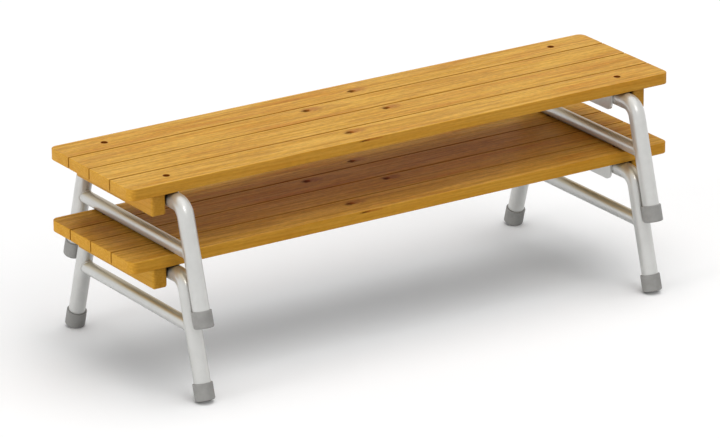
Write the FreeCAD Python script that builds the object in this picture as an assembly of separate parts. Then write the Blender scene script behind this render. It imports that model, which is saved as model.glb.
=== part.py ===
import FreeCAD, Part
import math
import os

# A low stacking bench for small children, shown as a stack of two alike benches.
# Each bench has a seat of pine slats on two battens, and at each end a leg frame: one
# steel tube bent into a splayed arch, with a stretcher welded across and rubber feet.
# A bench nests over the one below, and its stretchers come to rest on the seat there.
# Millimetres. X runs along the seat, Y to the back and Z up, from the floor's middle.

# Seat slats
seat_length = 1200.0
seat_height = 260.0
slat_count = 4
slat_width = 70.5
slat_gap = 2.5
slat_thickness = 22.0
slat_edge_round = 1.5
seat_corner_round = 15.0

# Bent tube of a leg frame
seat_overhang = 98.0
leg_diameter = 31.8
leg_wall = 1.6
leg_bend_radius = 30.0
leg_standoff = 24.65
seat_leg_gap = 1.5

# Straight tube welded across a leg frame, which also carries a stacked bench
stretcher_diameter = 25.4
stretcher_wall = 1.6
stretcher_drop = 127.0
weld_gap = 0.1

# Fit of one bench over the next
stack_rest_gap = 0.3
stacked_leg_gap = 4.4

# Rubber foot, a cup pushed over the end of a leg
foot_length = 32.0
foot_wall = 2.95
foot_leg_gap = 0.15
foot_floor = 6.0
foot_edge_round = 3.0
foot_rim_chamfer = 0.8
foot_flat_depth = 0.8

# Pine batten that ties the slats together, outboard of a leg frame
batten_thickness = 30.0
batten_height = 42.5
batten_inset = 9.0
batten_leg_gap = 1.0
batten_edge_round = 5.0

# Steel angle welded along the inboard side of a leg frame's top run
angle_drop = 40.0
angle_flange = 35.0
angle_thickness = 4.5
angle_bend_round = 3.0
angle_corner_round = 12.0
angle_overrun = 9.0

# Socket-head bolts down through the outer slats into bushes welded in the tube's upper wall,
# which stand proud of the tube and carry the seat
bolt_diameter = 6.0
bolt_head_diameter = 10.0
bolt_head_height = 6.0
bolt_socket_width = 5.0
bolt_socket_depth = 3.0
bolt_hole_gap = 0.3
bolt_engagement = 12.0
counterbore_diameter = 13.0
counterbore_depth = 12.5
washer_diameter = 12.0
washer_thickness = 1.6
bush_diameter = 11.0
bush_length = 16.0
bush_seat_gap = 0.1

# Wood screws, driven up through the battens and the angles into the slats
screw_diameter = 4.2
screw_head_diameter = 8.0
screw_head_height = 2.8
screw_point_length = 4.0
screw_hole_gap = 0.1
screw_depth_in_slat = 14.0
batten_screw_recess = 14.0
batten_screw_recess_diameter = 9.0

# Sizes that follow from those above
seat_width = slat_count * slat_width + (slat_count - 1) * slat_gap
seat_underside = seat_height - slat_thickness
leg_radius = leg_diameter / 2
foot_bore_radius = leg_radius + foot_leg_gap
foot_radius = foot_bore_radius + foot_wall
stretcher_radius = stretcher_diameter / 2
stretcher_height = seat_height - stretcher_drop
stack_pitch = stretcher_drop + stretcher_radius + stack_rest_gap
leg_splay = math.asin((leg_radius + foot_radius + stacked_leg_gap) / stack_pitch)
leg_x = seat_length / 2 - seat_overhang
run_height = seat_underside - seat_leg_gap - leg_radius
bush_top = seat_underside - bush_seat_gap
bolt_hole_radius = bolt_diameter / 2 + bolt_hole_gap
counterbore_floor = seat_height - counterbore_depth
screw_hole_radius = screw_diameter / 2 + screw_hole_gap

Vector = FreeCAD.Vector
UP = Vector(0, 0, 1)
ALONG_X = Vector(1, 0, 0)
ALONG_Y = Vector(0, 1, 0)
TINY = 1e-4


def same(a, b):
    """Whether two lengths are alike."""
    return abs(a - b) < TINY


def rounded(shape, radius, chosen):
    """A shape with a fillet along every edge that the test chooses."""
    return shape.makeFillet(radius, [edge for edge in shape.Edges if chosen(edge)])


def is_along(edge, direction):
    """Whether an edge is straight and runs along a direction."""
    return isinstance(edge.Curve, Part.Line) and same(abs(edge.tangentAt(edge.FirstParameter) * direction), 1)


def hexagon(width, height, base):
    """A six-sided prism standing on a point, given its width across two flat sides."""
    corner_radius = width / math.sqrt(3)
    corners = []
    for side in range(7):
        turn = math.radians(60 * side)
        corners.append(base + Vector(corner_radius * math.cos(turn), corner_radius * math.sin(turn), 0))
    return Part.Face(Part.makePolygon(corners)).extrude(UP * height)


def turned_half(shape):
    """The same piece at the other end of the bench, half a turn about the middle."""
    other = shape.copy()
    other.rotate(Vector(), UP, 180)
    return other


def both_ends(shapes):
    """Alike pieces at the right end and at the left end, as one group."""
    return Part.makeCompound(shapes + [turned_half(shape) for shape in shapes])


def slat_middle(row):
    """The Y of a slat's centre line, with row 0 at the front."""
    return (row - (slat_count - 1) / 2) * (slat_width + slat_gap)


outer_rows = (0, slat_count - 1)
inner_rows = range(1, slat_count - 1)
batten_middle_x = leg_x + leg_radius + batten_leg_gap + batten_thickness / 2
angle_face_x = leg_x - leg_radius - weld_gap
angle_screw_x = angle_face_x - (angle_thickness + angle_flange) / 2


def seat_slat(row):
    """One slat: eased edges, broad corners at the seat's own corners, and holes for its fasteners."""
    near_side = slat_middle(row) - slat_width / 2
    sides = (near_side, near_side + slat_width)
    start = Vector(-seat_length / 2, near_side, seat_underside)
    slat = Part.makeBox(seat_length, slat_width, slat_thickness, start)

    def at_seat_corner(edge):
        return is_along(edge, UP) and same(abs(edge.CenterOfMass.y), seat_width / 2)

    def is_sharp(edge):
        middle = edge.CenterOfMass
        at_end = same(abs(middle.x), seat_length / 2) and any(same(middle.y, side) for side in sides)
        return at_end or same(middle.z, seat_height) or same(middle.z, seat_underside)

    if row in outer_rows:
        slat = rounded(slat, seat_corner_round, at_seat_corner)
    slat = rounded(slat, slat_edge_round, is_sharp)
    holes = [screw_hole(batten_middle_x, slat_middle(row))]
    if row in outer_rows:
        holes += bolt_hole(slat_middle(row))
    else:
        holes.append(screw_hole(angle_screw_x, slat_middle(row)))
    for hole in holes:
        other = hole.copy()
        other.rotate(Vector(0, slat_middle(row), 0), UP, 180)
        slat = slat.cut(hole).cut(other)
    return slat


def bolt_hole(y):
    """Cutters for a bolt in a slat: its hole and its counterbore."""
    shank = Part.makeCylinder(bolt_hole_radius, slat_thickness, Vector(leg_x, y, seat_underside))
    head = Part.makeCylinder(counterbore_diameter / 2, slat_thickness, Vector(leg_x, y, counterbore_floor))
    return [shank, head]


def screw_hole(x, y):
    """A cutter for a wood screw's pilot hole up into a slat."""
    depth = screw_depth_in_slat + screw_hole_gap
    return Part.makeCylinder(screw_hole_radius, depth, Vector(x, y, seat_underside))


def leg_corner():
    """Where the front leg's centre line would meet that of the top run."""
    return Vector(leg_x, -seat_width / 2 - leg_standoff, run_height)


def leg_direction():
    """The way the front leg runs, down and out to the front."""
    return Vector(0, -math.sin(leg_splay), -math.cos(leg_splay))


def foot_bottom():
    """The middle of the front foot's underside, so that its lowest rounded edge stands on the floor."""
    edge_middle = foot_radius - foot_edge_round
    height = edge_middle * math.sin(leg_splay) + foot_edge_round * (1 - math.cos(leg_splay)) - foot_flat_depth
    reach = (run_height - height) / math.cos(leg_splay)
    return leg_corner() + leg_direction() * reach


def to_back(point):
    """A point of the front leg carried over to the back leg."""
    return Vector(point.x, -point.y, point.z)


def leg_line():
    """The centre line of a leg frame, from the front foot over the top run to the back foot."""
    corner = leg_corner()
    tangent = leg_bend_radius * math.tan((math.pi / 2 - leg_splay) / 2)
    end = foot_bottom() - leg_direction() * foot_floor
    below = corner + leg_direction() * tangent
    beside = corner + ALONG_Y * tangent
    bend_middle = beside - UP * leg_bend_radius
    crown = bend_middle + (corner - bend_middle).normalize() * leg_bend_radius
    runs = [
        Part.LineSegment(end, below),
        Part.Arc(below, crown, beside),
        Part.LineSegment(beside, to_back(beside)),
        Part.Arc(to_back(beside), to_back(crown), to_back(below)),
        Part.LineSegment(to_back(below), to_back(end)),
    ]
    return Part.Wire([run.toShape() for run in runs])


def leg_sweep(radius):
    """A round bar along the leg frame's centre line."""
    line = leg_line()
    start = line.Edges[0].firstVertex().Point
    section = Part.Wire([Part.Circle(start, leg_direction(), radius).toShape()])
    return line.makePipeShell([section], True, True)


def leg_frame():
    """The bent tube of the right end, its upper wall drilled for the bushes of the two seat bolts."""
    tube = leg_sweep(leg_radius).cut(leg_sweep(leg_radius - leg_wall))
    for row in outer_rows:
        start = Vector(leg_x, slat_middle(row), run_height)
        tube = tube.cut(Part.makeCylinder(bush_diameter / 2 + weld_gap, leg_diameter, start))
    return tube


def stretcher():
    """The straight tube across the leg frame, with both ends coped to the legs."""
    drop = (run_height - stretcher_height) * math.tan(leg_splay)
    half_length = -leg_corner().y + drop
    start = Vector(leg_x, -half_length, stretcher_height)
    bar = Part.makeCylinder(stretcher_radius, 2 * half_length, start, ALONG_Y)
    bore = Part.makeCylinder(stretcher_radius - stretcher_wall, 2 * half_length, start, ALONG_Y)
    return bar.cut(bore).cut(leg_sweep(leg_radius + weld_gap))


def foot():
    """The front foot: a revolved cup with a rounded sole, worn flat where it meets the floor."""
    edge_middle = foot_radius - foot_edge_round
    slant = foot_edge_round * math.sqrt(0.5)
    sole_edge = Vector(edge_middle, 0, 0)
    sole_bulge = Vector(edge_middle + slant, 0, foot_edge_round - slant)
    wall_start = Vector(foot_radius, 0, foot_edge_round)
    corners = [
        wall_start,
        Vector(foot_radius, 0, foot_length - foot_rim_chamfer),
        Vector(foot_radius - foot_rim_chamfer, 0, foot_length),
        Vector(foot_bore_radius, 0, foot_length),
        Vector(foot_bore_radius, 0, foot_floor),
        Vector(0, 0, foot_floor),
        Vector(),
        sole_edge,
    ]
    sole_round = Part.Arc(sole_edge, sole_bulge, wall_start).toShape()
    section = Part.Face(Part.Wire([sole_round] + Part.makePolygon(corners).Edges))
    cup = section.revolve(Vector(), UP, 360)
    cup.rotate(Vector(), ALONG_X, -math.degrees(leg_splay))
    cup.translate(foot_bottom())
    below = Part.makeBox(4 * foot_radius, 4 * foot_radius, foot_length)
    below.translate(Vector(leg_x - 2 * foot_radius, foot_bottom().y - 2 * foot_radius, -foot_length))
    return cup.cut(below)


def batten():
    """The cross batten of the right end, with eased edges and recessed screw holes."""
    half_length = seat_width / 2 - batten_inset
    bottom = seat_underside - batten_height
    start = Vector(batten_middle_x - batten_thickness / 2, -half_length, bottom)
    board = Part.makeBox(batten_thickness, 2 * half_length, batten_height, start)

    def below_the_seat(edge):
        return edge.BoundBox.ZMin < seat_underside - TINY

    board = rounded(board, batten_edge_round, below_the_seat)
    for row in range(slat_count):
        foot_point = Vector(batten_middle_x, slat_middle(row), bottom)
        recess = Part.makeCylinder(batten_screw_recess_diameter / 2, batten_screw_recess, foot_point)
        board = board.cut(recess).cut(Part.makeCylinder(screw_hole_radius, batten_height, foot_point))
    return board


def mounting_angle():
    """The steel angle of the right end: a bent plate with rounded lower corners and two screw holes."""
    half_length = slat_middle(slat_count - 1) + angle_overrun
    length = 2 * half_length
    bottom = seat_underside - angle_drop
    wall = Part.makeBox(angle_thickness, length, angle_drop)
    wall.translate(Vector(angle_face_x - angle_thickness, -half_length, bottom))
    flange = Part.makeBox(angle_flange, length, angle_thickness)
    flange.translate(Vector(angle_face_x - angle_flange, -half_length, seat_underside - angle_thickness))
    plate = wall.fuse(flange).removeSplitter()

    def at_outer_bend(edge):
        middle = edge.CenterOfMass
        return is_along(edge, ALONG_Y) and same(middle.x, angle_face_x) and same(middle.z, seat_underside)

    def at_inner_bend(edge):
        middle = edge.CenterOfMass
        level = same(middle.z, seat_underside - angle_thickness)
        return is_along(edge, ALONG_Y) and same(middle.x, angle_face_x - angle_thickness) and level

    def at_lower_corner(edge):
        return is_along(edge, ALONG_X) and same(edge.CenterOfMass.z, bottom)

    plate = rounded(plate, angle_bend_round + angle_thickness, at_outer_bend)
    plate = rounded(plate, angle_bend_round, at_inner_bend)
    plate = rounded(plate, angle_corner_round, at_lower_corner)
    for row in inner_rows:
        start = Vector(angle_screw_x, slat_middle(row), seat_underside - angle_thickness)
        plate = plate.cut(Part.makeCylinder(screw_hole_radius, angle_thickness, start))
    return plate


def seat_bolt(y):
    """A socket-head bolt that hangs from its washer in the counterbore and ends in its bush."""
    seat = counterbore_floor + washer_thickness
    end = bush_top - bolt_engagement
    shank = Part.makeCylinder(bolt_diameter / 2, seat - end, Vector(leg_x, y, end))
    head = Part.makeCylinder(bolt_head_diameter / 2, bolt_head_height, Vector(leg_x, y, seat))
    socket_floor = seat + bolt_head_height - bolt_socket_depth
    socket = hexagon(bolt_socket_width, bolt_socket_depth, Vector(leg_x, y, socket_floor))
    return shank.fuse(head).removeSplitter().cut(socket)


def ring(diameter, bore_diameter, height, base):
    """A flat-ended ring standing on a point."""
    return Part.makeCylinder(diameter / 2, height, base).cut(Part.makeCylinder(bore_diameter / 2, height, base))


def bolt_washer(y):
    """The flat washer under a bolt's head."""
    return ring(washer_diameter, 2 * bolt_hole_radius, washer_thickness, Vector(leg_x, y, counterbore_floor))


def bolt_bush(y):
    """The round bush that a bolt is driven into, with the seat on its upper end and its lower end open."""
    bore_diameter = bolt_diameter + 2 * screw_hole_gap
    return ring(bush_diameter, bore_diameter, bush_length, Vector(leg_x, y, bush_top - bush_length))


def wood_screw(x, y, seat):
    """A screw with a pan head under a face at the given height, pointed at its upper end."""
    radius = screw_diameter / 2
    tip = seat_underside + screw_depth_in_slat
    outline = Part.makePolygon(
        [
            Vector(0, 0, seat - screw_head_height),
            Vector(screw_head_diameter / 2, 0, seat - screw_head_height),
            Vector(screw_head_diameter / 2, 0, seat),
            Vector(radius, 0, seat),
            Vector(radius, 0, tip - screw_point_length),
            Vector(0, 0, tip),
            Vector(0, 0, seat - screw_head_height),
        ]
    )
    screw = Part.Face(outline).revolve(Vector(), UP, 360)
    screw.translate(Vector(x, y, 0))
    return screw


def bench_pieces():
    """Every piece of one bench that stands on the floor, by name."""
    pieces = {}
    for row in range(slat_count):
        pieces[f"slat_{row + 1}"] = seat_slat(row)
    ends = {
        "batten": batten(),
        "leg_frame": leg_frame(),
        "stretcher": stretcher(),
        "mounting_angle": mounting_angle(),
    }
    for name, piece in ends.items():
        pieces[f"right_{name}"] = piece
        pieces[f"left_{name}"] = turned_half(piece)
    front_foot = foot()
    back_foot = front_foot.copy()
    back_foot.rotate(Vector(leg_x, 0, 0), UP, 180)
    pieces["front_right_foot"] = front_foot
    pieces["back_right_foot"] = back_foot
    pieces["back_left_foot"] = turned_half(front_foot)
    pieces["front_left_foot"] = turned_half(back_foot)
    bolt_lines = [slat_middle(row) for row in outer_rows]
    pieces["seat_bolts"] = both_ends([seat_bolt(y) for y in bolt_lines])
    pieces["bolt_washers"] = both_ends([bolt_washer(y) for y in bolt_lines])
    pieces["bolt_bushes"] = both_ends([bolt_bush(y) for y in bolt_lines])
    batten_seat = seat_underside - batten_height + batten_screw_recess
    batten_lines = [slat_middle(row) for row in range(slat_count)]
    pieces["batten_screws"] = both_ends([wood_screw(batten_middle_x, y, batten_seat) for y in batten_lines])
    angle_seat = seat_underside - angle_thickness
    angle_lines = [slat_middle(row) for row in inner_rows]
    pieces["angle_screws"] = both_ends([wood_screw(angle_screw_x, y, angle_seat) for y in angle_lines])
    return pieces


def export_stack():
    """Writes the lower bench, and the upper one a stack pitch above it."""
    os.makedirs("parts", exist_ok=True)
    for name, piece in bench_pieces().items():
        for bench, base in (("lower", 0.0), ("upper", stack_pitch)):
            placed = piece.copy()
            placed.translate(UP * base)
            placed.exportStep(f"parts/{bench}_{name}.step")


export_stack()
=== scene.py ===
"""Dresses a stack of two low benches: pine slat seats on splayed leg frames of bent tube.

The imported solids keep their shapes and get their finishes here. The welds that join the
tubes are added, and the stack stands in a plain white studio.
"""
import logging
import math
from dataclasses import dataclass
from enum import Enum
from typing import ClassVar, NamedTuple

import bmesh
import bpy
from mathutils import Matrix, Quaternion, Vector


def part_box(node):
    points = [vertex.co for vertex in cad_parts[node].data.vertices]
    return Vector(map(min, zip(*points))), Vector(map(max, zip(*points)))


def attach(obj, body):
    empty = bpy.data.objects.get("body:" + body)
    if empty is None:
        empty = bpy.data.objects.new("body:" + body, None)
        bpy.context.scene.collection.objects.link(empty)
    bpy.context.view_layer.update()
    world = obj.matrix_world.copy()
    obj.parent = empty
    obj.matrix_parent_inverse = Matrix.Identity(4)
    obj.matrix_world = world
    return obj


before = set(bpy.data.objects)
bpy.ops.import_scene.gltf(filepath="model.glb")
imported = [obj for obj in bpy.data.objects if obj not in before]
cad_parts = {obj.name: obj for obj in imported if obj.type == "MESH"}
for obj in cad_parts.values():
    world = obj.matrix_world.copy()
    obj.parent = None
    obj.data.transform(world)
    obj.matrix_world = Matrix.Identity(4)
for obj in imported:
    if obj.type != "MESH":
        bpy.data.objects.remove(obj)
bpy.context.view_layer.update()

LOG = logging.getLogger("stacking_bench")

Material = bpy.types.Material
Outputs = bpy.types.NodeOutputs
Socket = bpy.types.NodeSocket
Triple = tuple[float, float, float]
Colour = tuple[float, float, float, float]
Feed = Socket | float | Triple | Colour
Feeds = dict[str | int, Feed]

X_AXIS: Triple = (1.0, 0.0, 0.0)
Y_AXIS: Triple = (0.0, 1.0, 0.0)
UP: Triple = (0.0, 0.0, 1.0)
DOWN: Triple = (0.0, 0.0, -1.0)
LEVEL_PART: Triple = (1.0, 1.0, 0.0)
HALF: Triple = (0.5, 0.5, 0.5)


class Slot(Enum):
    """The record's material slots."""

    PINE = "pine"
    POWDER_COAT = "white_powder_coat"
    RUBBER = "grey_rubber"
    ZINC = "zinc_steel"


class Level(Enum):
    """The two benches of the stack."""

    LOWER = "lower"
    UPPER = "upper"

    @property
    def body(self) -> str:
        """The name of the moving body that this bench is."""
        return f"{self.value}_bench"


class End(Enum):
    """The two ends of a bench."""

    LEFT = "left"
    RIGHT = "right"


class Side(Enum):
    """The two long sides of a bench, by the way each one faces along Y."""

    FRONT = -1
    BACK = 1


class Use(Enum):
    """What a lamp is for: to light surfaces, or to show as a sheen on glossy ones."""

    LIGHT = "light"
    SHEEN = "sheen"


class Kind(Enum):
    """What a socket of a node group carries."""

    VALUE = "NodeSocketFloat"
    VECTOR = "NodeSocketVector"


class Lie(Enum):
    """Which way a board's grain runs, as the turn that brings it along X."""

    ALONG_X = 0.0
    ALONG_Y = math.pi / 2


class Layer(Enum):
    """The layers of the fine relief, by the names of what the group gives."""

    FINE = "Height"
    BROAD = "Mottle"


class Span(NamedTuple):
    """A smooth ramp: the measures at which it starts and ends, and the results there."""

    start: float
    end: float
    low: float = 0.0
    high: float = 1.0

    def times(self, factor: float) -> "Span":
        """The same ramp with its results made larger or smaller."""
        return self._replace(low=self.low * factor, high=self.high * factor)


class Cells(NamedTuple):
    """A noise: its cells per metre along each axis, its finer layers and how much they show."""

    stretch: Triple
    layers: float = 2.0
    show: float = 0.5


def tone(red: int, green: int, blue: int) -> Colour:
    """Turns a colour as a screen shows it into the linear one that a shader takes.

    Args:
        red: Red, from 0 to 255.
        green: Green, from 0 to 255.
        blue: Blue, from 0 to 255.

    Returns:
        The linear colour, with full opacity.
    """
    linear = []
    for part in (red, green, blue):
        share = part / 255
        linear.append(share / 12.92 if share <= 0.04045 else ((share + 0.055) / 1.055) ** 2.4)
    return (*linear, 1.0)


def grey(level: float) -> Colour:
    """A grey of a linear level, with full opacity."""
    return (level, level, level, 1.0)


def box_of(node: str) -> tuple[Vector, Vector]:
    """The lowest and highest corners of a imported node, in metres."""
    low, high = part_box(node)
    return Vector(low), Vector(high)


class Graph:
    """Short calls that add and join the nodes of one tree."""

    VALUED: ClassVar[tuple[str, ...]] = ("LENGTH", "DOT_PRODUCT")
    MIX_INPUTS: ClassVar[tuple[int, ...]] = (0, 6, 7)
    MIX_RESULT: ClassVar[int] = 2
    OPENNESS_SAMPLES: ClassVar[int] = 8

    def __init__(self, tree: bpy.types.NodeTree) -> None:
        """Starts on a tree with no nodes.

        Args:
            tree: The node tree of a material, a world or a group.
        """
        self.tree = tree
        tree.nodes.clear()

    def feed(self, socket: Socket, value: Feed) -> None:
        """Joins a socket to another one, or sets its constant.

        Args:
            socket: The input to feed.
            value: An output to join it to, or a constant.
        """
        if isinstance(value, Socket):
            self.tree.links.new(value, socket)
        else:
            socket.default_value = value

    def add(self, kind: str, feeds: Feeds | None = None, **settings: object) -> bpy.types.Node:
        """Adds a node.

        Args:
            kind: The node's type name.
            feeds: What goes into its inputs, by name or number.
            **settings: Properties of the node, set before its inputs.

        Returns:
            The new node.
        """
        node = self.tree.nodes.new(kind)
        for name, value in settings.items():
            setattr(node, name, value)
        for key, value in (feeds or {}).items():
            self.feed(node.inputs[key], value)
        return node

    def math(self, operation: str, first: Feed, second: Feed = 0.0) -> Socket:
        """Works on two numbers.

        Args:
            operation: The Math node's operation.
            first: The first number.
            second: The second number, where the operation takes one.

        Returns:
            The result.
        """
        return self.add("ShaderNodeMath", {0: first, 1: second}, operation=operation).outputs[0]

    def vector(self, operation: str, first: Feed, second: Feed) -> Socket:
        """Works on two vectors.

        Args:
            operation: The Vector Math node's operation.
            first: The first vector.
            second: The second vector.

        Returns:
            The resulting vector, or number for a length or a product.
        """
        node = self.add("ShaderNodeVectorMath", {0: first, 1: second}, operation=operation)
        return node.outputs["Value" if operation in self.VALUED else "Vector"]

    def length(self, measured: Feed) -> Socket:
        """The length of a vector."""
        return self.vector("LENGTH", measured, (0.0, 0.0, 0.0))

    def part(self, measured: Feed, axis: str) -> Socket:
        """One part of a vector, by the name of its axis."""
        return self.add("ShaderNodeSeparateXYZ", {0: measured}).outputs[axis]

    def noise(self, place: Feed, cells: Cells) -> bpy.types.Node:
        """Adds a noise that is stretched differently along each axis.

        Args:
            place: Where to look the noise up.
            cells: The noise's cells and layers.

        Returns:
            The noise node.
        """
        scaled = self.vector("MULTIPLY", place, cells.stretch)
        feeds = {"Vector": scaled, "Scale": 1.0, "Detail": cells.layers, "Roughness": cells.show}
        return self.add("ShaderNodeTexNoise", feeds)

    def sway(self, place: Feed, cells: Cells, reach: Triple) -> Socket:
        """Adds a noise that wanders to either side of nothing.

        Args:
            place: Where to look the noise up.
            cells: The noise's cells and layers.
            reach: How far it wanders along each axis, from end to end.

        Returns:
            The wandering, as a vector.
        """
        spread = self.vector("SUBTRACT", self.noise(place, cells).outputs["Color"], HALF)
        return self.vector("MULTIPLY", spread, reach)

    def ramp(self, value: Feed, span: Span) -> Socket:
        """Maps a number smoothly from one range to another, and holds it there.

        Args:
            value: The number.
            span: The ramp's ends and the results there.

        Returns:
            The mapped number.
        """
        feeds = {"Value": value, "From Min": span.start, "From Max": span.end}
        feeds |= {"To Min": span.low, "To Max": span.high}
        node = self.add("ShaderNodeMapRange", feeds, interpolation_type="SMOOTHSTEP")
        return node.outputs["Result"]

    def mix(self, share: Feed, first: Feed, second: Feed, blend: str = "MIX") -> Socket:
        """Mixes two colours.

        Args:
            share: How much of the second colour shows.
            first: The colour at a share of 0.
            second: The colour at a share of 1.
            blend: The way of mixing.

        Returns:
            The mixed colour.
        """
        feeds = dict(zip(self.MIX_INPUTS, (share, first, second)))
        node = self.add("ShaderNodeMix", feeds, data_type="RGBA", blend_type=blend)
        return node.outputs[self.MIX_RESULT]

    def own_place(self) -> Socket:
        """The place on the surface, in the piece's own coordinates."""
        return self.add("ShaderNodeTexCoord").outputs["Object"]

    def facing(self, way: Feed) -> Socket:
        """How squarely the surface faces a way: 1 straight at it, and -1 straight away."""
        normal = self.add("ShaderNodeNewGeometry").outputs["Normal"]
        return self.vector("DOT_PRODUCT", normal, way)

    def openness(self, reach: float, way: Triple | None = None) -> Socket:
        """Measures how open the space before the surface is.

        Args:
            reach: How far off other surfaces still count, in metres.
            way: Which way to look, or None to look straight off the surface.

        Returns:
            1 in the open, and 0 in the tightest corner.
        """
        feeds: Feeds = {"Distance": reach}
        if way:
            feeds["Normal"] = self.add("ShaderNodeCombineXYZ", dict(enumerate(way))).outputs[0]
        node = self.add("ShaderNodeAmbientOcclusion", feeds, samples=self.OPENNESS_SAMPLES)
        return node.outputs["AO"]


class Effect:
    """A node group that several materials share, each with its own values."""

    name: ClassVar[str]
    takes: ClassVar[dict[str, Kind]]
    gives: ClassVar[dict[str, Kind]]

    def wire(self, graph: Graph, taken: Outputs) -> Feeds:
        """Builds the group's nodes.

        Args:
            graph: The group's tree.
            taken: What the group takes, by name.

        Returns:
            What the group gives, by name.
        """
        raise NotImplementedError

    def tree(self) -> bpy.types.NodeTree:
        """Builds the group the first time that it is asked for.

        Returns:
            The group's tree.
        """
        made = bpy.data.node_groups.get(self.name)
        if made:
            return made
        made = bpy.data.node_groups.new(self.name, "ShaderNodeTree")
        for way, sockets in (("INPUT", self.takes), ("OUTPUT", self.gives)):
            for label, kind in sockets.items():
                made.interface.new_socket(name=label, in_out=way, socket_type=kind.value)
        graph = Graph(made)
        given = self.wire(graph, graph.add("NodeGroupInput").outputs)
        graph.add("NodeGroupOutput", given)
        return made

    def place(self, graph: Graph, feeds: Feeds) -> Outputs:
        """Places the group in a material.

        Args:
            graph: The material's tree.
            feeds: What goes into the group, by name.

        Returns:
            The group's outputs.
        """
        return graph.add("ShaderNodeGroup", feeds, node_tree=self.tree()).outputs


class PineFigure(Effect):
    """The figure of sawn pine: growth rings round a pith that runs along X, streaks and fibres."""

    name = "pine_figure"
    takes = {"Place": Kind.VECTOR, "Pith": Kind.VECTOR, "Tilt": Kind.VALUE, "Ring width": Kind.VALUE}
    gives = {"Late wood": Kind.VALUE, "Streak": Kind.VALUE, "Warmth": Kind.VALUE, "Fibre": Kind.VALUE}

    ROUND_X: ClassVar[Triple] = (0.0, 1.0, 1.0)
    DRIFT: ClassVar[Cells] = Cells((1.4, 9.0, 9.0), 1.0)
    DRIFT_REACH: ClassVar[Triple] = (0.0, 0.012, 0.009)
    WOBBLE: ClassVar[Cells] = Cells((10.0, 140.0, 140.0), 3.0, 0.6)
    STREAK: ClassVar[Cells] = Cells((5.0, 170.0, 170.0), 4.0, 0.65)
    WARMTH: ClassVar[Cells] = Cells((4.0, 48.0, 48.0), 3.0, 0.6)
    FIBRE: ClassVar[Cells] = Cells((80.0, 340.0, 340.0), 3.0, 0.65)
    LATE_POWER: ClassVar[float] = 2.5
    YEAR_END: ClassVar[Span] = Span(0.86, 1.0, 1.0, 0.0)

    def wire(self, graph: Graph, taken: Outputs) -> Feeds:
        """Builds the rings, and the streaks and fibres that lie along them.

        Args:
            graph: The group's tree.
            taken: What the group takes, by name.

        Returns:
            What the group gives, by name.
        """
        place = taken["Place"]
        wandering = graph.vector("ADD", place, graph.sway(place, self.DRIFT, self.DRIFT_REACH))
        rise = graph.math("MULTIPLY", graph.part(place, "X"), taken["Tilt"])
        lean = graph.add("ShaderNodeCombineXYZ", {"Z": rise}).outputs[0]
        from_pith = graph.vector("SUBTRACT", graph.vector("ADD", wandering, lean), taken["Pith"])
        radius = graph.length(graph.vector("MULTIPLY", from_pith, self.ROUND_X))
        wobble = graph.noise(place, self.WOBBLE).outputs["Fac"]
        rings = graph.math("ADD", graph.math("DIVIDE", radius, taken["Ring width"]), wobble)
        year = graph.math("FRACT", rings)
        darkening = graph.math("POWER", year, self.LATE_POWER)
        return {
            "Late wood": graph.math("MULTIPLY", darkening, graph.ramp(year, self.YEAR_END)),
            "Streak": graph.noise(wandering, self.STREAK).outputs["Fac"],
            "Warmth": graph.noise(wandering, self.WARMTH).outputs["Fac"],
            "Fibre": graph.noise(wandering, self.FIBRE).outputs["Fac"],
        }


class KnotFigure(Effect):
    """One knot: a dark core with a reddish heart to one side, a halo, and grain that flows past it.

    The spans and the tail are in half sizes of the knot.
    """

    name = "knot_figure"
    takes = {"Place": Kind.VECTOR, "Centre": Kind.VECTOR, "Half size": Kind.VECTOR}
    gives = {"Place": Kind.VECTOR, "Core": Kind.VALUE, "Heart": Kind.VALUE, "Halo": Kind.VALUE}

    RAGGED: ClassVar[Cells] = Cells((160.0, 260.0, 260.0))
    RAGGED_REACH: ClassVar[Triple] = (1.1, 1.1, 1.1)
    CORE: ClassVar[Span] = Span(0.45, 1.15, 1.0, 0.0)
    HEART: ClassVar[Span] = Span(-0.2, 0.7)
    TAIL: ClassVar[Triple] = (1.1, 0.15, 0.0)
    HALO_STRETCH: ClassVar[Triple] = (0.46, 0.60, 0.6)
    HALO: ClassVar[Span] = Span(0.2, 1.25, 1.0, 0.0)
    PULL: ClassVar[Span] = Span(0.0, 3.2, 0.75, 0.0)

    def wire(self, graph: Graph, taken: Outputs) -> Feeds:
        """Builds the masks of the core and the halo, and spreads the grain round the core.

        Args:
            graph: The group's tree.
            taken: What the group takes, by name.

        Returns:
            What the group gives, by name.
        """
        place = taken["Place"]
        ragged = graph.sway(place, self.RAGGED, self.RAGGED_REACH)
        offset = graph.vector("SUBTRACT", place, taken["Centre"])
        reach = graph.vector("DIVIDE", offset, taken["Half size"])
        tail = graph.vector("MULTIPLY", graph.vector("SUBTRACT", reach, self.TAIL), self.HALO_STRETCH)
        sideways = graph.vector("MULTIPLY", offset, Y_AXIS)
        pull = {0: sideways, "Scale": graph.ramp(graph.length(reach), self.PULL)}
        pulled = graph.add("ShaderNodeVectorMath", pull, operation="SCALE").outputs[0]
        return {
            "Place": graph.vector("SUBTRACT", place, pulled),
            "Core": graph.ramp(graph.length(graph.vector("ADD", reach, ragged)), self.CORE),
            "Heart": graph.ramp(graph.part(reach, "X"), self.HEART),
            "Halo": graph.ramp(graph.length(graph.vector("ADD", tail, ragged)), self.HALO),
        }


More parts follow.
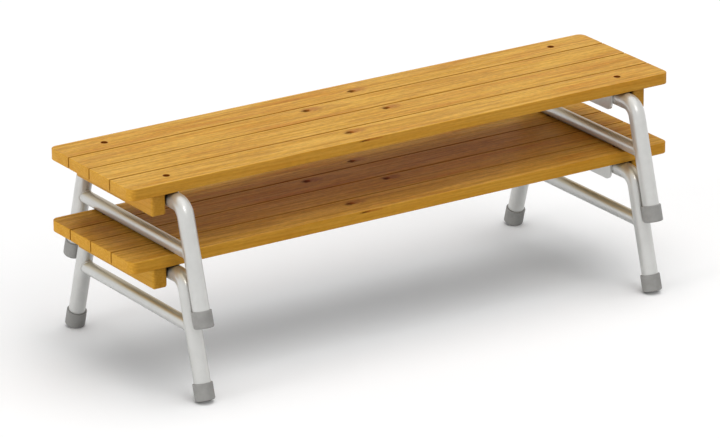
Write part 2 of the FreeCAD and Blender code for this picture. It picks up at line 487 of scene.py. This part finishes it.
class FineRelief(Effect):
    """The small unevenness of a coat, a moulding or a plating, as a height and a mottle."""

    name = "fine_relief"
    takes = {"Place": Kind.VECTOR, "Cells": Kind.VALUE}
    gives = {"Height": Kind.VALUE, "Mottle": Kind.VALUE}

    FINE_LAYERS: ClassVar[float] = 3.0
    FINE_SHOW: ClassVar[float] = 0.55
    BROAD: ClassVar[Cells] = Cells((34.0, 34.0, 34.0), 3.0, 0.6)

    def wire(self, graph: Graph, taken: Outputs) -> Feeds:
        """Builds a fine layer and a broad one.

        Args:
            graph: The group's tree.
            taken: What the group takes, by name.

        Returns:
            What the group gives, by name.
        """
        feeds = {"Vector": taken["Place"], "Scale": taken["Cells"]}
        feeds |= {"Detail": self.FINE_LAYERS, "Roughness": self.FINE_SHOW}
        return {
            "Height": graph.add("ShaderNodeTexNoise", feeds).outputs["Fac"],
            "Mottle": graph.noise(taken["Place"], self.BROAD).outputs["Fac"],
        }


class WornEdge(Effect):
    """Where a piece is rubbed along its edges, broken up so that it is uneven."""

    name = "worn_edge"
    takes = {"Place": Kind.VECTOR, "Radius": Kind.VALUE}
    gives = {"Mask": Kind.VALUE}

    BEVEL_SAMPLES: ClassVar[int] = 6
    TURNED: ClassVar[Span] = Span(0.995, 0.86)
    PATCHES: ClassVar[Cells] = Cells((70.0, 140.0, 140.0), 3.0, 0.65)
    RUBBED: ClassVar[Span] = Span(0.36, 0.62)

    def wire(self, graph: Graph, taken: Outputs) -> Feeds:
        """Compares the surface's own direction with that of the same surface rounded over.

        Args:
            graph: The group's tree.
            taken: What the group takes, by name.

        Returns:
            What the group gives, by name.
        """
        bevel = graph.add("ShaderNodeBevel", {"Radius": taken["Radius"]}, samples=self.BEVEL_SAMPLES)
        turned = graph.ramp(graph.facing(bevel.outputs["Normal"]), self.TURNED)
        patches = graph.noise(taken["Place"], self.PATCHES).outputs["Fac"]
        return {"Mask": graph.math("MULTIPLY", turned, graph.ramp(patches, self.RUBBED))}


PINE_FIGURE = PineFigure()
KNOT_FIGURE = KnotFigure()
FINE_RELIEF = FineRelief()
WORN_EDGE = WornEdge()


def blank_material(name: str) -> tuple[Material, Graph]:
    """Makes a material with an empty node tree.

    Args:
        name: The material's name.

    Returns:
        The material, and calls that build its nodes.
    """
    material = bpy.data.materials.new(name)
    material.use_nodes = True
    return material, Graph(material.node_tree)


def surface(graph: Graph, feeds: Feeds, height: Feed, depth: float) -> None:
    """Ends a material with its shader and relief.

    Args:
        graph: The material's tree.
        feeds: What goes into the shader, by name.
        height: The relief.
        depth: How deep the relief is, in metres.
    """
    bump = graph.add("ShaderNodeBump", {"Strength": 1.0, "Distance": depth, "Height": height})
    shader = graph.add("ShaderNodeBsdfPrincipled", {**feeds, "Normal": bump.outputs["Normal"]})
    graph.add("ShaderNodeOutputMaterial", {"Surface": shader.outputs["BSDF"]})


@dataclass(frozen=True)
class Knot:
    """A knot in a board: its centre from the board's middle and its half sizes, in metres."""

    centre: Triple
    half_size: Triple


@dataclass(frozen=True)
class Timber:
    """How one board grew: its pith from the board's middle, ring width and knots, in metres."""

    pith: Triple
    tilt: float
    ring_width: float
    along: float
    knots: tuple[Knot, ...] = ()
    # Below 1, the board's figure is darkened as painted shade.
    painted_shade_lightness: float = 1.0


@dataclass(frozen=True)
class Board:
    """One board in its place.

    The seams are the sides on which another board lies close by, and the bores are the
    middles of its bolt holes.
    """

    node: str
    timber: Timber
    lie: Lie
    seams: tuple[Side, ...] = ()
    bores: tuple[Vector, ...] = ()

    @property
    def middle(self) -> Triple:
        """The middle of the board, in the shared frame."""
        low, high = box_of(self.node)
        return tuple((low + high) / 2)

    @property
    def half_width(self) -> float:
        """Half of the board's size along Y."""
        low, high = box_of(self.node)
        return (high.y - low.y) / 2


@dataclass(frozen=True)
class PineFinish:
    """Honey-coloured pine under a satin varnish.

    The top has a painted highlight along its rims and painted shade at its seams. The upright faces
    are plainer, the bolt holes and the corners beside the tubes have painted shade, and the
    underside throws painted bounce light and painted reflections in colours of their own on other pieces.
    """

    early: Colour = tone(220, 170, 72)
    streak: Colour = tone(199, 146, 47)
    streak_span: Span = Span(0.38, 0.66)
    warm: Colour = tone(192, 120, 30)
    warm_span: Span = Span(0.45, 0.76, 0.0, 0.75)
    late: Colour = tone(158, 98, 28)
    late_share: float = 0.55
    fibre_span: Span = Span(0.3, 0.7, 0.84, 1.12)
    halo: Colour = tone(160, 88, 34)
    halo_share: float = 0.62
    heart: Colour = tone(150, 82, 24)
    core: Colour = tone(98, 58, 16)
    flank: Colour = tone(184, 129, 39)
    butt: Colour = tone(207, 152, 56)
    upright_span: Span = Span(0.5, 0.9, 0.0, 0.6)
    # Painted highlight: a paler colour on the top along its long edges, where the rounded edges catch the
    # light.
    rim_highlight: Colour = tone(236, 190, 92)
    rim_width: float = 0.0055
    rim_end: float = 0.0027
    rim_highlight_span: Span = Span(0.5, 0.9, 0.0, 0.32)
    # Painted shade: a dark colour on the top beside each gap between slats.
    seam_shade: Colour = tone(104, 30, 4)
    seam_width: float = 0.0018
    seam_core: float = 0.0006
    seam_shade_span: Span = Span(0.5, 0.9, 0.24, 0.48)
    # Painted shade inside the bolt holes, with a thin dark rim round each.
    bore: Colour = tone(140, 74, 22)
    bore_shade_span: Span = Span(0.0066, 0.00726, 1.0, 0.0)
    # Painted shade for the battens' tight corners beside the tubes.
    recess_shade: Colour = tone(34, 18, 8)
    recess_reach: float = 0.02
    recess_shade_span: Span = Span(0.1, 0.6, 1.0, 0.0)
    # Painted light: colours that the underside shows only to bounced light and to reflections, never to
    # the camera.
    underside_painted_bounce: Colour = tone(182, 96, 10)
    underside_painted_reflection: Colour = tone(255, 208, 96)
    underside_span: Span = Span(0.3, 0.6)
    rough_span: Span = Span(0.3, 0.7, 0.38, 0.48)
    gloss: float = 0.07
    relief: float = 0.00006

    def material(self, board: Board) -> Material:
        """Makes the finish of one board.

        Args:
            board: The board in its place.

        Returns:
            The material.
        """
        material, graph = blank_material(f"{Slot.PINE.value}_{board.node}")
        own = graph.own_place()
        centred = graph.vector("SUBTRACT", own, board.middle)
        figure, knots = self.place_figure(graph, board, centred)
        colour = self.colour_wood(graph, figure)
        colour, fibre = self.plain_uprights(graph, colour, figure["Fibre"])
        rough = graph.ramp(figure["Streak"], self.rough_span)
        for knot in knots:
            colour = self.colour_knot(graph, colour, knot)
            rough = graph.math("MAXIMUM", rough, knot["Core"])
        # The grain's tone, darkened on the battens as painted shade.
        shade = graph.ramp(fibre, self.fibre_span.times(board.timber.painted_shade_lightness))
        colour = graph.mix(1.0, colour, shade, "MULTIPLY")
        colour = self.colour_edges(graph, colour, board, graph.part(centred, "Y"))
        colour = self.colour_bores(graph, colour, board, own)
        # Painted shade in the battens' tight corners, from how open the space before them is.
        if board.lie is Lie.ALONG_Y:
            recess_shade_mask = graph.ramp(graph.openness(self.recess_reach), self.recess_shade_span)
            colour = graph.mix(recess_shade_mask, colour, self.recess_shade)
        colour = self.colour_underside(graph, colour)
        height = graph.math("SUBTRACT", figure["Fibre"], figure["Late wood"])
        feeds = {"Base Color": colour, "Roughness": rough, "Specular IOR Level": self.gloss}
        surface(graph, feeds, height, self.relief)
        return material

    def place_figure(self, graph: Graph, board: Board, centred: Feed) -> tuple[Outputs, list[Outputs]]:
        """Places the board's knots, and its growth rings and fibres, which flow past them.

        Args:
            graph: The material's tree.
            board: The board in its place.
            centred: The place on the surface, from the board's middle.

        Returns:
            The figure of the wood, and that of each knot.
        """
        timber = board.timber
        turn = {"Rotation": (0.0, 0.0, -board.lie.value), "Location": (timber.along, 0.0, 0.0)}
        place = graph.add("ShaderNodeMapping", {"Vector": centred, **turn}).outputs["Vector"]
        knots = []
        for knot in timber.knots:
            centre = (knot.centre[0] + timber.along, *knot.centre[1:])
            seat = {"Place": place, "Centre": centre, "Half size": knot.half_size}
            knots.append(KNOT_FIGURE.place(graph, seat))
            place = knots[-1]["Place"]
        growth = {"Place": place, "Pith": timber.pith, "Tilt": timber.tilt}
        growth |= {"Ring width": timber.ring_width}
        return PINE_FIGURE.place(graph, growth), knots

    def colour_wood(self, graph: Graph, figure: Outputs) -> Socket:
        """Colours the streaks, the warm bands and the late wood.

        Args:
            graph: The material's tree.
            figure: The figure of the wood.

        Returns:
            The colour of the wood between the knots.
        """
        colour = graph.mix(graph.ramp(figure["Streak"], self.streak_span), self.early, self.streak)
        colour = graph.mix(graph.ramp(figure["Warmth"], self.warm_span), colour, self.warm)
        late = graph.math("MULTIPLY", figure["Late wood"], self.late_share)
        return graph.mix(late, colour, self.late)

    def plain_uprights(self, graph: Graph, colour: Feed, fibre: Feed) -> tuple[Socket, Socket]:
        """Makes the upright faces plainer than the top.

        Args:
            graph: The material's tree.
            colour: The colour so far.
            fibre: The figure of the fibres.

        Returns:
            The colour and the fibres, both more even on the upright faces.
        """
        for plain, way in ((self.flank, Y_AXIS), (self.butt, X_AXIS)):
            upright = graph.ramp(graph.math("ABSOLUTE", graph.facing(way)), self.upright_span)
            colour = graph.mix(upright, colour, plain)
            fibre = graph.mix(upright, fibre, (*HALF, 1.0))
        return colour, fibre

    def colour_knot(self, graph: Graph, colour: Feed, knot: Outputs) -> Socket:
        """Colours one knot.

        Args:
            graph: The material's tree.
            colour: The colour so far.
            knot: The figure of the knot.

        Returns:
            The colour with the knot and its halo.
        """
        colour = graph.mix(graph.math("MULTIPLY", knot["Halo"], self.halo_share), colour, self.halo)
        return graph.mix(knot["Core"], colour, graph.mix(knot["Heart"], self.core, self.heart))

    def colour_edges(self, graph: Graph, colour: Feed, board: Board, across: Feed) -> Socket:
        """Paints a highlight on the top along its long edges, and paints shade at the seams beside other
        boards.

        Args:
            graph: The material's tree.
            colour: The colour so far.
            board: The board in its place.
            across: The place across the board, from its middle.

        Returns:
            The colour with the painted highlight and the painted seam shade.
        """
        edge = board.half_width
        rise = graph.facing(UP)
        from_middle = graph.math("ABSOLUTE", across)
        # Painted highlight on the top along its long edges.
        begun = graph.ramp(from_middle, Span(edge - self.rim_width, edge - self.rim_end))
        ended = graph.ramp(from_middle, Span(edge - self.rim_end, edge - self.seam_core))
        rim_highlight = graph.math("MULTIPLY", graph.ramp(rise, self.rim_highlight_span), graph.math("SUBTRACT", begun, ended))
        colour = graph.mix(rim_highlight, colour, self.rim_highlight)
        # Painted shade beside the seams, deeper on the top.
        depth = graph.ramp(rise, self.seam_shade_span)
        for side in board.seams:
            outward = graph.math("MULTIPLY", across, side.value)
            near = graph.ramp(outward, Span(edge - self.seam_width, edge - self.seam_core))
            colour = graph.mix(graph.math("MULTIPLY", near, depth), colour, self.seam_shade)
        return colour

    def colour_bores(self, graph: Graph, colour: Feed, board: Board, own: Feed) -> Socket:
        """Paints shade on the wood inside the bolt holes and on a thin rim round each.

        Args:
            graph: The material's tree.
            colour: The colour so far.
            board: The board in its place.
            own: The place on the surface, in the shared frame.

        Returns:
            The colour with the painted shade of the bolt holes.
        """
        for bore in board.bores:
            from_bore = graph.vector("SUBTRACT", own, tuple(bore))
            radius = graph.length(graph.vector("MULTIPLY", from_bore, LEVEL_PART))
            colour = graph.mix(graph.ramp(radius, self.bore_shade_span), colour, self.bore)
        return colour

    def colour_underside(self, graph: Graph, colour: Feed) -> Socket:
        """Paints the light and the reflection that the underside throws on other pieces, in colours of
        their own.

        Args:
            graph: The material's tree.
            colour: The colour so far.

        Returns:
            The colour, which is as before where the camera sees it.
        """
        down = graph.ramp(graph.facing(DOWN), self.underside_span)
        path = graph.add("ShaderNodeLightPath").outputs
        thrown = {"Is Diffuse Ray": self.underside_painted_bounce, "Is Glossy Ray": self.underside_painted_reflection}
        for ray, shown in thrown.items():
            colour = graph.mix(graph.math("MULTIPLY", down, path[ray]), colour, shown)
        return colour


UPPER_PINE = PineFinish()
# The lower bench's underside throws grey painted bounce light.
LOWER_PINE = PineFinish(gloss=0.03, underside_painted_bounce=tone(150, 150, 150))


@dataclass(frozen=True)
class PowderCoatFinish:
    """Silvery white powder coat on steel, with a soft gloss and a faint orange peel.

    It has painted shade in tight corners, and painted warm bounce light on top where it lies under a pine
    seat.
    """

    coat: Colour = tone(205, 205, 202)
    shaded: Colour = tone(201, 201, 198)
    shaded_span: Span = Span(0.35, 0.65)
    # Painted shade in tight corners and gaps.
    crease_shade: Colour = tone(104, 94, 78)
    crease_reach: float = 0.022
    crease_shade_span: Span = Span(0.08, 0.62, 1.0, 0.0)
    # Painted warm bounce light from the pine, on up-facing tube under a seat.
    painted_wood_bounce: Colour = tone(186, 172, 142)
    roof_reach: float = 0.17
    roof_span: Span = Span(0.3, 0.85, 1.0, 0.0)
    top_span: Span = Span(0.36, 0.82)
    rough_span: Span = Span(0.3, 0.7, 0.30, 0.34)
    metallic: float = 0.6
    cells: float = 900.0
    relief: float = 0.000004

    def material(self) -> Material:
        """Makes the finish.

        Returns:
            The material.
        """
        material, graph = blank_material(f"{Slot.POWDER_COAT.value}_finish")
        peel = FINE_RELIEF.place(graph, {"Place": graph.own_place(), "Cells": self.cells})
        colour = graph.mix(graph.ramp(peel["Mottle"], self.shaded_span), self.coat, self.shaded)
        # Painted warm bounce light on the tops of tubes that are covered from above.
        top = graph.ramp(graph.facing(UP), self.top_span)
        roof = graph.ramp(graph.openness(self.roof_reach, UP), self.roof_span)
        colour = graph.mix(graph.math("MULTIPLY", top, roof), colour, self.painted_wood_bounce)
        # Painted shade where other surfaces lie close.
        crease_shade_mask = graph.ramp(graph.openness(self.crease_reach), self.crease_shade_span)
        colour = graph.mix(crease_shade_mask, colour, self.crease_shade)
        rough = graph.ramp(peel["Mottle"], self.rough_span)
        feeds = {"Base Color": colour, "Roughness": rough, "Metallic": self.metallic}
        surface(graph, feeds, peel["Height"], self.relief)
        return material


@dataclass(frozen=True)
class WornFinish:
    """A finish that is patchy all over and rubbed along its edges."""

    slot: Slot
    layer: Layer
    body: Colour
    patch: Colour
    rubbed: Colour
    rubbed_share: float
    rough_span: Span
    metallic: float
    gloss: float
    cells: float
    edge: float
    relief: float
    patch_span: Span = Span(0.35, 0.65)

    def material(self) -> Material:
        """Makes the finish.

        Returns:
            The material.
        """
        material, graph = blank_material(f"{self.slot.value}_finish")
        own = graph.own_place()
        grain = FINE_RELIEF.place(graph, {"Place": own, "Cells": self.cells})
        patchy = grain[self.layer.value]
        worn = WORN_EDGE.place(graph, {"Place": own, "Radius": self.edge})
        colour = graph.mix(graph.ramp(patchy, self.patch_span), self.body, self.patch)
        rubbed = graph.math("MULTIPLY", worn["Mask"], self.rubbed_share)
        feeds = {
            "Base Color": graph.mix(rubbed, colour, self.rubbed),
            "Roughness": graph.ramp(patchy, self.rough_span),
            "Metallic": self.metallic,
            "Specular IOR Level": self.gloss,
        }
        surface(graph, feeds, grain["Height"], self.relief)
        return material


@dataclass(frozen=True)
class RubberFinish(WornFinish):
    """Mid-grey moulded rubber, matt, paler where its edges are rubbed."""

    slot: Slot = Slot.RUBBER
    layer: Layer = Layer.BROAD
    body: Colour = tone(151, 150, 147)
    patch: Colour = tone(142, 141, 138)
    rubbed: Colour = tone(175, 174, 170)
    rubbed_share: float = 0.5
    rough_span: Span = Span(0.3, 0.7, 0.62, 0.78)
    metallic: float = 0.0
    gloss: float = 0.35
    cells: float = 2600.0
    edge: float = 0.0012
    relief: float = 0.00008


@dataclass(frozen=True)
class ZincFinish(WornFinish):
    """Zinc-plated steel of bolts, washers, bushes and screws, bright where its edges are rubbed."""

    slot: Slot = Slot.ZINC
    layer: Layer = Layer.FINE
    body: Colour = tone(196, 196, 192)
    patch: Colour = tone(160, 161, 160)
    rubbed: Colour = tone(196, 196, 192)
    rubbed_share: float = 0.4
    rough_span: Span = Span(0.3, 0.7, 0.28, 0.44)
    metallic: float = 1.0
    gloss: float = 0.5
    cells: float = 1800.0
    edge: float = 0.0004
    relief: float = 0.00002


def dress(node: str, material: Material) -> None:
    """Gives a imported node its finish.

    Args:
        node: The node's name.
        material: The finish.
    """
    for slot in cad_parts[node].material_slots:
        slot.material = material
    LOG.info("dressed %s in %s", node, material.name)


def finished_piece(
    name: str, shape: bmesh.types.BMesh, material: Material, level: Level
) -> None:
    """Turns a modelled shape into a piece that rides on its bench.

    Args:
        name: The piece's name.
        shape: The shape, in the shared frame. It is freed.
        material: The finish.
        level: The bench that carries the piece.
    """
    bmesh.ops.recalc_face_normals(shape, faces=shape.faces)
    for face in shape.faces:
        face.smooth = True
    mesh = bpy.data.meshes.new(name)
    shape.to_mesh(mesh)
    shape.free()
    mesh.materials.append(material)
    piece = bpy.data.objects.new(name, mesh)
    bpy.context.scene.collection.objects.link(piece)
    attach(piece, level.body)
    LOG.info("built %s with %d faces", name, len(mesh.polygons))


SLAT_TIMBERS = (
    Timber(
        pith=(0.0, 0.006, -0.055),
        tilt=0.010,
        ring_width=0.0052,
        along=1.7,
        knots=(
            Knot((-0.0971, 0.0130, 0.006), (0.0120, 0.0082, 0.03)),
            Knot((-0.0945, -0.0352, 0.0084), (0.0140, 0.004, 0.0017)),
        ),
    ),
    Timber(
        pith=(0.0, -0.010, -0.062),
        tilt=-0.012,
        ring_width=0.0056,
        along=4.1,
        knots=(Knot((0.0364, 0.0190, 0.006), (0.0108, 0.0074, 0.03)),),
    ),
    Timber(
        pith=(0.0, 0.004, -0.050),
        tilt=0.011,
        ring_width=0.0050,
        along=6.9,
        knots=(Knot((-0.0972, 0.0160, 0.006), (0.0118, 0.0080, 0.03)),),
    ),
    Timber(
        pith=(0.0, 0.012, -0.058),
        tilt=-0.010,
        ring_width=0.0054,
        along=9.3,
        knots=(Knot((0.0356, -0.0091, 0.006), (0.0114, 0.0082, 0.03)),),
    ),
)
# The battens' lower value is painted shade for where they stand under the seat's overhang.
BATTEN_TIMBER = Timber(
    pith=(0.0, 0.045, -0.020), tilt=0.015, ring_width=0.0048, along=12.2, painted_shade_lightness=0.88
)


@dataclass
class Seat:
    """The pine of one bench: slats side by side on two cross battens."""

    level: Level
    finish: PineFinish
    slats: tuple[Timber, ...] = SLAT_TIMBERS
    batten: Timber = BATTEN_TIMBER
    bolt_head_radius: float = 0.005

    def dress(self) -> None:
        """Gives each slat and batten the finish of its own board."""
        for board in self.boards():
            dress(board.node, self.finish.material(board))

    def boards(self) -> list[Board]:
        """Puts the seat's boards in their places.

        Returns:
            The slats from the front to the back, and the battens.
        """
        holes = self.bolt_holes()
        boards = []
        for number, timber in enumerate(self.slats, start=1):
            outer = {1: Side.FRONT, len(self.slats): Side.BACK}.get(number)
            seams = tuple(side for side in Side if side is not outer)
            bores = tuple(hole for hole in holes if outer and hole.y * outer.value > 0)
            node = f"{self.level.value}_slat_{number}"
            boards.append(Board(node, timber, Lie.ALONG_X, seams, bores))
        for end in End:
            node = f"{self.level.value}_{end.value}_batten"
            boards.append(Board(node, self.batten, Lie.ALONG_Y))
        return boards

    def bolt_holes(self) -> list[Vector]:
        """Finds the bolt holes in the outer slats from the bolts in them.

        Returns:
            The middles of the four holes, in the shared frame.
        """
        low, high = box_of(f"{self.level.value}_seat_bolts")
        inset = Vector((self.bolt_head_radius, self.bolt_head_radius, 0.0))
        low, high = low + inset, high - inset
        return [Vector((x, y, high.z)) for x in (low.x, high.x) for y in (low.y, high.y)]


@dataclass
class LegFrame:
    """The steel of one end: the bent tube, its stretcher and mounting angle, and their welds.

    The stretcher's welds are rippled beads, and the angle's are short stitches.
    """

    level: Level
    end: End
    splay: float = math.radians(16.303)
    bead_radius: float = 0.0016
    bead_sides: int = 10
    bead_steps: int = 120
    ripple_count: int = 30
    ripple: float = 0.05
    stitch_length: float = 0.026
    stitch_spacing: float = 0.075
    stitch_radius: float = 0.0026
    stitch_sides: int = 12
    stitch_rings: int = 9
    stitch_sink: float = 0.4
    stitch_drop: float = 1.5

    def node(self, name: str) -> str:
        """The full name of one of this end's nodes."""
        return f"{self.level.value}_{self.end.value}_{name}"

    def dress(self, coat: Material) -> None:
        """Gives the tubes and the angle their coat, and adds the coated welds.

        Args:
            coat: The powder coat.
        """
        for name in ("leg_frame", "stretcher", "mounting_angle"):
            dress(self.node(name), coat)
        welds = {"stretcher_welds": self.stretcher_welds(), "angle_welds": self.angle_welds()}
        for name, shape in welds.items():
            finished_piece(self.node(name), shape, coat, self.level)

    def stretcher_welds(self) -> bmesh.types.BMesh:
        """Models the bead round each end of the stretcher, where it meets a leg.

        Returns:
            Both beads, in the shared frame.
        """
        tube_low, tube_high = box_of(self.node("leg_frame"))
        bar_low, bar_high = box_of(self.node("stretcher"))
        leg_radius = (tube_high.x - tube_low.x) / 2
        bar_radius = (bar_high.z - bar_low.z) / 2
        bar_height = (bar_high.z + bar_low.z) / 2
        tip_reach = tube_high.y - leg_radius * math.cos(self.splay)
        tip_height = tube_low.z + leg_radius * math.sin(self.splay)
        leg_reach = tip_reach - (bar_height - tip_height) * math.tan(self.splay)
        middle = Vector(((tube_low.x + tube_high.x) / 2, 0.0, bar_height))
        shape = bmesh.new()
        for side in Side:
            known = set(shape.verts)
            made = bmesh.ops.create_circle(shape, segments=self.bead_sides, radius=self.bead_radius)
            bmesh.ops.translate(shape, verts=made["verts"], vec=(bar_radius, 0.0, 0.0))
            edges = [edge for edge in shape.edges if edge.verts[0] not in known]
            bmesh.ops.spin(
                shape,
                geom=made["verts"] + edges,
                cent=(0.0, 0.0, 0.0),
                axis=Y_AXIS,
                angle=2 * math.pi,
                steps=self.bead_steps,
                use_merge=True,
            )
            for vert in shape.verts:
                if vert not in known:
                    self.seat_on_leg(vert, bar_radius, leg_radius)
                    vert.co.y = side.value * (leg_reach - vert.co.y)
                    vert.co += middle
        return shape

    def seat_on_leg(self, vert: bmesh.types.BMVert, bar_radius: float, leg_radius: float) -> None:
        """Moves a point of a flat ring along the stretcher until the ring follows the leg.

        Args:
            vert: A point of the bead's ring, which lies round Y.
            bar_radius: The stretcher's radius.
            leg_radius: The leg's radius.
        """
        turn = math.atan2(vert.co.z, vert.co.x)
        out = bar_radius * math.cos(turn)
        rise = bar_radius * math.sin(turn)
        ring = Vector((out, 0.0, rise))
        swell = 1 + self.ripple * math.cos(self.ripple_count * turn)
        vert.co = ring + (vert.co - ring) * swell
        reach = math.sqrt(leg_radius**2 - out**2) + rise * math.sin(self.splay)
        vert.co.y += reach / math.cos(self.splay)

    def angle_welds(self) -> bmesh.types.BMesh:
        """Models three stitches between the mounting angle's wall and the tube.

        They lie below the tube's middle, where they fill the gap between it and the wall.

        Returns:
            The stitches, in the shared frame.
        """
        tube_low, tube_high = box_of(self.node("leg_frame"))
        angle_low, angle_high = box_of(self.node("mounting_angle"))
        leg_radius = (tube_high.x - tube_low.x) / 2
        outward = 1 if tube_low.x > 0 else -1
        wall = angle_high.x if outward > 0 else angle_low.x
        out = wall + outward * self.stitch_radius * self.stitch_sink
        drop = self.stitch_drop * math.sqrt(leg_radius * self.stitch_radius)
        height = tube_high.z - leg_radius - drop
        upright = Matrix.Rotation(math.pi / 2, 3, "X")
        shape = bmesh.new()
        for along in (-self.stitch_spacing, 0.0, self.stitch_spacing):
            verts = bmesh.ops.create_uvsphere(
                shape,
                u_segments=self.stitch_sides,
                v_segments=self.stitch_rings,
                radius=self.stitch_radius,
            )["verts"]
            bmesh.ops.rotate(shape, verts=verts, matrix=upright)
            for vert in verts:
                vert.co.y += math.copysign(self.stitch_length / 2, vert.co.y)
            bmesh.ops.translate(shape, verts=verts, vec=(out, along, height))
        return shape


@dataclass
class Bench:
    """One bench of the stack: its seat, the steel of its two ends, its feet and its fasteners."""

    level: Level
    pine: PineFinish
    coat: Material
    rubber: Material
    zinc: Material
    fasteners: tuple[str, ...] = (
        "seat_bolts", "bolt_washers", "bolt_bushes", "batten_screws", "angle_screws"
    )

    def dress(self) -> None:
        """Dresses every piece of the bench."""
        Seat(self.level, self.pine).dress()
        for end in End:
            LegFrame(self.level, end).dress(self.coat)
            for side in Side:
                dress(f"{self.level.value}_{side.name.lower()}_{end.value}_foot", self.rubber)
        for name in self.fasteners:
            dress(f"{self.level.value}_{name}", self.zinc)


@dataclass(frozen=True)
class SoftLamp:
    """A broad lamp far away.

    It has the way to it, the light on a face turned to it, its width as an angle, and its use.
    """

    name: str
    towards: Triple
    brightness: float
    width: float
    use: Use = Use.LIGHT


@dataclass
class Studio:
    """A white floor and backdrop, soft lamps, and the camera."""

    floor_reach: float = 60.0
    floor_sides: int = 64
    floor_drop: float = 0.0002
    floor_bounce: float = 0.80
    floor_colour: float = 1.0
    floor_glow: float = 0.01
    ambient: float = 0.32
    backdrop: float = 1.0
    lamps: tuple[SoftLamp, ...] = (
        SoftLamp("overhead", (0.10, -0.02, 1.0), 0.545, math.radians(60)),
        SoftLamp("front", (0.15, -1.0, 0.9), 0.18, math.radians(40)),
        SoftLamp("left", (-1.0, -0.08, 0.04), 0.655, math.radians(25)),
        SoftLamp("overhead_sheen", (0.0, -0.02, 1.0), 0.10, math.radians(60), Use.SHEEN),
        SoftLamp("front_sheen", (-0.30, -0.58, 0.75), 0.12, math.radians(14), Use.SHEEN),
    )
    azimuth: float = math.radians(-33.202)
    elevation: float = math.radians(20.042)
    roll: float = math.radians(-0.252)
    aim: Triple = (-0.04721, -0.05344, 0.20656)
    distance: float = 10.2159
    lens: float = 273.025
    sensor: float = 36.0
    sight: float = 100.0

    def build(self) -> None:
        """Builds the floor, the light and the camera."""
        bpy.context.scene.view_settings.view_transform = "Standard"
        self.build_floor()
        self.build_world()
        for lamp in self.lamps:
            self.build_lamp(lamp)
        self.build_camera()

    def seen(self, graph: Graph) -> Socket:
        """Marks the rays that show the background: from the camera, a reflection or through glass.

        Args:
            graph: The tree to mark them in.

        Returns:
            1 for those rays, and 0 for the ones that carry light.
        """
        path = graph.add("ShaderNodeLightPath").outputs
        mirrored = graph.math("MAXIMUM", path["Is Glossy Ray"], path["Is Transmission Ray"])
        return graph.math("MAXIMUM", path["Is Camera Ray"], mirrored)

    def build_floor(self) -> None:
        """Builds the floor, which faces up."""
        shape = bmesh.new()
        bmesh.ops.create_circle(
            shape, cap_ends=True, segments=self.floor_sides, radius=self.floor_reach
        )
        bmesh.ops.translate(shape, verts=shape.verts, vec=(0.0, 0.0, -self.floor_drop))
        bmesh.ops.recalc_face_normals(shape, faces=shape.faces)
        if shape.faces[:][0].normal.z < 0:
            bmesh.ops.reverse_faces(shape, faces=shape.faces)
        mesh = bpy.data.meshes.new("studio_floor")
        shape.to_mesh(mesh)
        shape.free()
        mesh.materials.append(self.floor_material())
        piece = bpy.data.objects.new("studio_floor", mesh)
        bpy.context.scene.collection.objects.link(piece)

    def floor_material(self) -> Material:
        """Makes a floor that is white where it shows, keeps shadows, and is clear from below.

        Returns:
            The material.
        """
        material, graph = blank_material("studio_floor")
        bounce = graph.add("ShaderNodeBsdfDiffuse", {"Color": grey(self.floor_bounce)}).outputs[0]
        shown = graph.add("ShaderNodeBsdfDiffuse", {"Color": grey(self.floor_colour)}).outputs[0]
        glow = graph.add("ShaderNodeEmission", {"Strength": self.floor_glow}).outputs[0]
        shown = graph.add("ShaderNodeAddShader", {0: shown, 1: glow}).outputs[0]
        feeds = {0: self.seen(graph), 1: bounce, 2: shown}
        floor = graph.add("ShaderNodeMixShader", feeds).outputs[0]
        below = graph.add("ShaderNodeNewGeometry").outputs["Backfacing"]
        clear = graph.add("ShaderNodeBsdfTransparent").outputs[0]
        floor = graph.add("ShaderNodeMixShader", {0: below, 1: floor, 2: clear}).outputs[0]
        graph.add("ShaderNodeOutputMaterial", {"Surface": floor})
        return material

    def build_world(self) -> None:
        """Builds an even light from all round, which shows as plain white."""
        world = bpy.data.worlds.new("studio_world")
        world.use_nodes = True
        bpy.context.scene.world = world
        graph = Graph(world.node_tree)
        lit, shown = (
            graph.add("ShaderNodeBackground", {"Color": grey(1.0), "Strength": strength}).outputs[0]
            for strength in (self.ambient, self.backdrop)
        )
        feeds = {0: self.seen(graph), 1: lit, 2: shown}
        mixed = graph.add("ShaderNodeMixShader", feeds).outputs[0]
        graph.add("ShaderNodeOutputWorld", {"Surface": mixed})

    def build_lamp(self, lamp: SoftLamp) -> None:
        """Hangs one lamp.

        Args:
            lamp: The lamp's place, brightness, width and use.
        """
        light = bpy.data.lights.new(lamp.name, "SUN")
        light.energy = math.pi * lamp.brightness
        light.angle = lamp.width
        hung = bpy.data.objects.new(lamp.name, light)
        hung.rotation_euler = Vector(lamp.towards).to_track_quat("Z", "Y").to_euler()
        hung.visible_diffuse = lamp.use is Use.LIGHT
        hung.visible_glossy = lamp.use is Use.SHEEN
        bpy.context.scene.collection.objects.link(hung)

    def build_camera(self) -> None:
        """Sets the camera at the viewing angle and distance."""
        camera = bpy.data.cameras.new("camera")
        camera.lens = self.lens
        camera.sensor_width = self.sensor
        camera.clip_end = self.sight
        back = Vector(
            (
                math.sin(self.azimuth) * math.cos(self.elevation),
                -math.cos(self.azimuth) * math.cos(self.elevation),
                math.sin(self.elevation),
            )
        )
        stand = bpy.data.objects.new("camera", camera)
        stand.location = Vector(self.aim) + back * self.distance
        turn = back.to_track_quat("Z", "Y") @ Quaternion(UP, self.roll)
        stand.rotation_euler = turn.to_euler()
        bpy.context.scene.collection.objects.link(stand)
        bpy.context.scene.camera = stand


def main() -> None:
    """Builds the studio, dresses both benches and reports each piece."""
    logging.basicConfig(level=logging.INFO, format="%(name)s: %(message)s")
    Studio().build()
    coat = PowderCoatFinish().material()
    rubber = RubberFinish().material()
    zinc = ZincFinish().material()
    for level, pine in ((Level.LOWER, LOWER_PINE), (Level.UPPER, UPPER_PINE)):
        Bench(level, pine, coat, rubber, zinc).dress()


if __name__ == "__main__":
    main()
